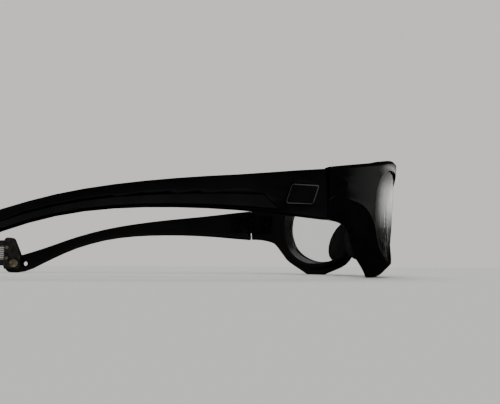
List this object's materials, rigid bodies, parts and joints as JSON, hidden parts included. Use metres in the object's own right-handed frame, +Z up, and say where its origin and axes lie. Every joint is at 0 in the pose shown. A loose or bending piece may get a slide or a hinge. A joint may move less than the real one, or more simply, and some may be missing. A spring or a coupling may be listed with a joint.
{
  "type": "sports goggles",
  "caption": "Wraparound clear-lens sports goggles with a black moulded front, soft nose pads, folding temples and a flat elastic head strap on pivoting clips.",
  "frame": {"origin": "middle of the bounding box in plan, on the ground that the rims and the temple tips stand on", "axes": "+X is the wearer's left, -Y the way the wearer looks, +Z up; the head strap lies at +Y"},
  "size_m": [0.1468, 0.2411, 0.0413],
  "materials": {
    "front_plastic": "black moulded nylon, polished outside and satin behind",
    "temple_plastic": "black moulded nylon, satin",
    "lens_clear": "clear untinted polycarbonate, polished",
    "pad_rubber": "soft black elastomer, dull",
    "grip_rubber": "soft black elastomer, matte",
    "badge_plastic": "dark grey moulded plastic, blank",
    "hinge_metal": "dark plated steel",
    "pin_brass": "tarnished brass",
    "clip_rubber": "very dark brown-black moulded plastic",
    "strap_webbing": "woven elastic, charcoal with a mid-grey centre"
  },
  "bodies": {
    "front": {"front_frame": "front_plastic", "lens_left": "lens_clear", "nose_pad_left": "pad_rubber", "front_leaf_left": "hinge_metal", "front_leaf_screw_lower_left": "hinge_metal", "front_leaf_screw_upper_left": "hinge_metal", "hinge_screw_left": "hinge_metal", "lens_right": "lens_clear", "nose_pad_right": "pad_rubber", "front_leaf_right": "hinge_metal", "front_leaf_screw_lower_right": "hinge_metal", "front_leaf_screw_upper_right": "hinge_metal", "hinge_screw_right": "hinge_metal"},
    "temple_left": {"temple_left": "temple_plastic", "temple_leaf_left": "hinge_metal", "temple_leaf_screw_lower_left": "hinge_metal", "temple_leaf_screw_upper_left": "hinge_metal", "temple_grip_left": "grip_rubber", "temple_badge_left": "badge_plastic", "clip_pin_left": "pin_brass"},
    "temple_right": {"temple_right": "temple_plastic", "temple_leaf_right": "hinge_metal", "temple_leaf_screw_lower_right": "hinge_metal", "temple_leaf_screw_upper_right": "hinge_metal", "temple_grip_right": "grip_rubber", "temple_badge_right": "badge_plastic", "clip_pin_right": "pin_brass"},
    "strap_clip_left": {"strap_clip_left": "clip_rubber", "clip_rivet_lower_left": "pin_brass", "clip_rivet_upper_left": "pin_brass", "strap_left": "strap_webbing"},
    "strap_clip_right": {"strap_clip_right": "clip_rubber", "clip_rivet_lower_right": "pin_brass", "clip_rivet_upper_right": "pin_brass", "strap_right": "strap_webbing"}
  },
  "joints": [
    {"name": "fold_left", "type": "hinge", "parent": "front", "child": "temple_left", "pos_m": [0.0616, -0.07625, 0.0246], "axis": [0, 0, 1], "range_deg": [0, 90], "deforming": ["strap_left"]},
    {"name": "fold_right", "type": "hinge", "parent": "front", "child": "temple_right", "pos_m": [-0.0616, -0.07625, 0.0246], "axis": [0, 0, -1], "range_deg": [0, 82], "deforming": ["strap_right"]},
    {"name": "strap_swing_left", "type": "hinge", "parent": "temple_left", "child": "strap_clip_left", "pos_m": [0.0614, 0.03685, 0.0044], "axis": [1, 0, 0], "range_deg": [0, 50]},
    {"name": "strap_swing_right", "type": "hinge", "parent": "temple_right", "child": "strap_clip_right", "pos_m": [-0.0614, 0.03685, 0.0044], "axis": [1, 0, 0], "range_deg": [0, 50]}
  ],
  "couplings": [
    {"joint": "strap_swing_right", "follows": "strap_swing_left", "ratio": 1}
  ]
}
